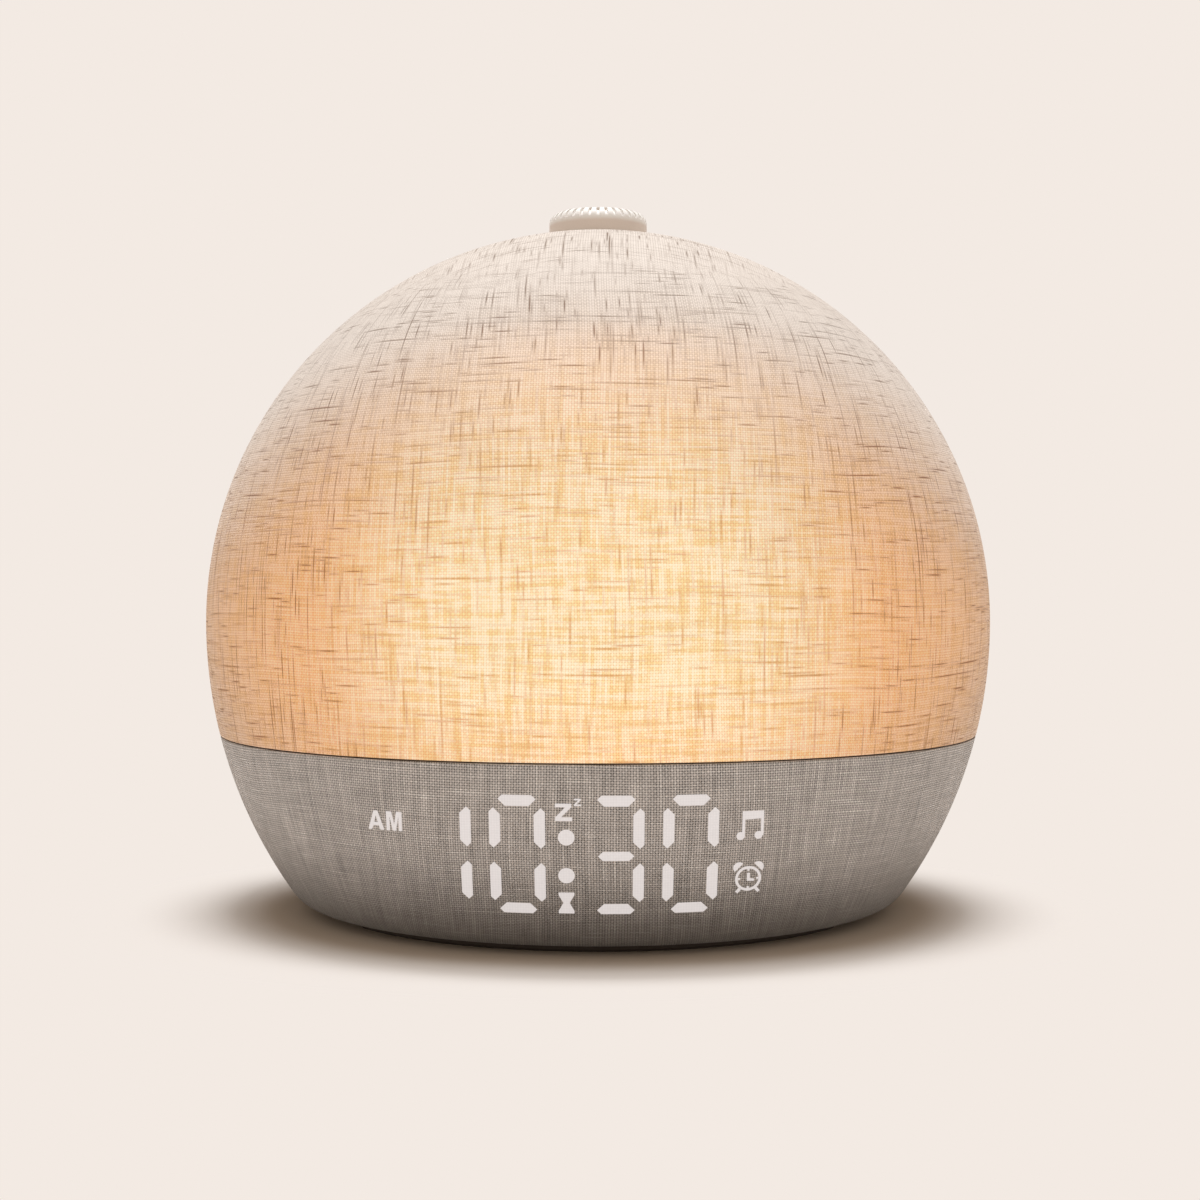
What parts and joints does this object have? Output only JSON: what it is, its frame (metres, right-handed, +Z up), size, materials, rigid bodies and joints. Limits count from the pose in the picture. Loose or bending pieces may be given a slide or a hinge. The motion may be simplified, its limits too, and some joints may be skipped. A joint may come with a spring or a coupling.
{
  "type": "sunrise alarm clock",
  "caption": "Ball-shaped sunrise alarm clock: fabric dome lamp on a fabric base with a seven-segment display behind the cloth, a speaker below and a push-and-turn knob on top.",
  "frame": {"origin": "on the floor under the ball's axis", "axes": "+Z up along the ball's axis; -Y out of the display; +X to the right as the display is read"},
  "size_m": [0.15, 0.15, 0.1342],
  "materials": {
    "base_linen": "grey-taupe woven linen",
    "dome_linen": "cream slub linen",
    "casing_plastic": "fine texture",
    "inner_plastic": "moulded",
    "diffuser_plastic": "milky",
    "reflector_white": "moulded",
    "knob_plastic": "satin",
    "seam_black": "moulded",
    "foot_rubber": "matt",
    "gasket_foam": "foam",
    "display_black": "matt",
    "lens_milky": "milky",
    "led_white": "phosphor",
    "circuit_board": "solder mask",
    "component_black": "moulded",
    "screw_steel": "zinc plated",
    "encoder_metal": "turned",
    "magnet_ferrite": "sintered",
    "cone_paper": "pressed",
    "spider_cloth": "resin-dipped",
    "coil_copper": "enamelled",
    "cable_grey": "sheath",
    "button_plastic": "satin"
  },
  "bodies": {
    "base": {"base_fabric": "base_linen", "base_plate": "casing_plastic", "base_plate_screws": "screw_steel", "base_shell": "casing_plastic", "board_screws": "screw_steel", "button_switches": "component_black", "centre_column": "inner_plastic", "chassis": "inner_plastic", "coin_cell": "screw_steel", "coin_cell_holder": "inner_plastic", "display_board": "circuit_board", "display_housing": "display_black", "display_leds": "led_white", "display_lenses": "lens_milky", "display_ribbon": "cable_grey", "dome_diffuser": "diffuser_plastic", "dome_fabric": "dome_linen", "dome_screws": "screw_steel", "encoder_board": "circuit_board", "encoder_body": "encoder_metal", "encoder_cable": "cable_grey", "encoder_nut": "screw_steel", "encoder_washer": "screw_steel", "foot_pads": "foot_rubber", "io_board": "circuit_board", "knob_mount_screws": "screw_steel", "knob_well": "reflector_white", "led_board": "circuit_board", "led_emitters": "led_white", "main_board": "circuit_board", "main_board_parts": "component_black", "power_jack": "component_black", "power_jack_nut": "screw_steel", "rear_panel": "casing_plastic", "reflector": "reflector_white", "seam_ring": "seam_black", "speaker_basket": "screw_steel", "speaker_box": "inner_plastic", "speaker_gasket": "gasket_foam", "speaker_magnet": "magnet_ferrite", "speaker_screws": "screw_steel", "speaker_spider": "spider_cloth", "speaker_surround": "foot_rubber", "speaker_yoke": "screw_steel", "wiring_harness": "cable_grey"},
    "knob_rotor": {"encoder_rotor": "component_black"},
    "knob": {"knob_cap": "knob_plastic", "encoder_shaft": "encoder_metal"},
    "push_plunger": {"encoder_plunger": "component_black"},
    "cone": {"speaker_cone": "cone_paper", "speaker_voice_coil": "coil_copper"},
    "alarm_push": {"alarm_button": "button_plastic", "alarm_button_plunger": "component_black"},
    "sound_push": {"sound_button": "button_plastic", "sound_button_plunger": "component_black"},
    "timer_push": {"timer_button": "button_plastic", "timer_button_plunger": "component_black"},
    "light_push": {"light_button": "button_plastic", "light_button_plunger": "component_black"}
  },
  "joints": [
    {"name": "knob_spin", "type": "hinge", "parent": "base", "child": "knob_rotor", "pos_m": [0, 0, 0.1175], "axis": [0, 0, 1], "continuous": true},
    {"name": "knob_press", "type": "slide", "parent": "knob_rotor", "child": "knob", "axis": [0, 0, -1], "range_m": [0, 0.0015], "stiffness_N_per_m": 800, "springref_m": -0.003},
    {"name": "plunger_press", "type": "slide", "parent": "base", "child": "push_plunger", "axis": [0, 0, -1], "range_m": [0, 0.0015]},
    {"name": "cone_stroke", "type": "slide", "parent": "base", "child": "cone", "axis": [0, 0, 1], "range_m": [-0.001, 0.001], "stiffness_N_per_m": 600, "deforming": ["speaker_surround", "speaker_spider"]},
    {"name": "alarm_press", "type": "slide", "parent": "base", "child": "alarm_push", "axis": [0, -0.9031, 0.4294], "range_m": [0, 0.0003], "stiffness_N_per_m": 1500, "springref_m": -0.001},
    {"name": "sound_press", "type": "slide", "parent": "base", "child": "sound_push", "axis": [0, -0.9031, 0.4294], "range_m": [0, 0.0003], "stiffness_N_per_m": 1500, "springref_m": -0.001},
    {"name": "timer_press", "type": "slide", "parent": "base", "child": "timer_push", "axis": [0, -0.9031, 0.4294], "range_m": [0, 0.0003], "stiffness_N_per_m": 1500, "springref_m": -0.001},
    {"name": "light_press", "type": "slide", "parent": "base", "child": "light_push", "axis": [0, -0.9031, 0.4294], "range_m": [0, 0.0003], "stiffness_N_per_m": 1500, "springref_m": -0.001}
  ],
  "couplings": [
    {"joint": "plunger_press", "follows": "knob_press", "ratio": 1}
  ]
}
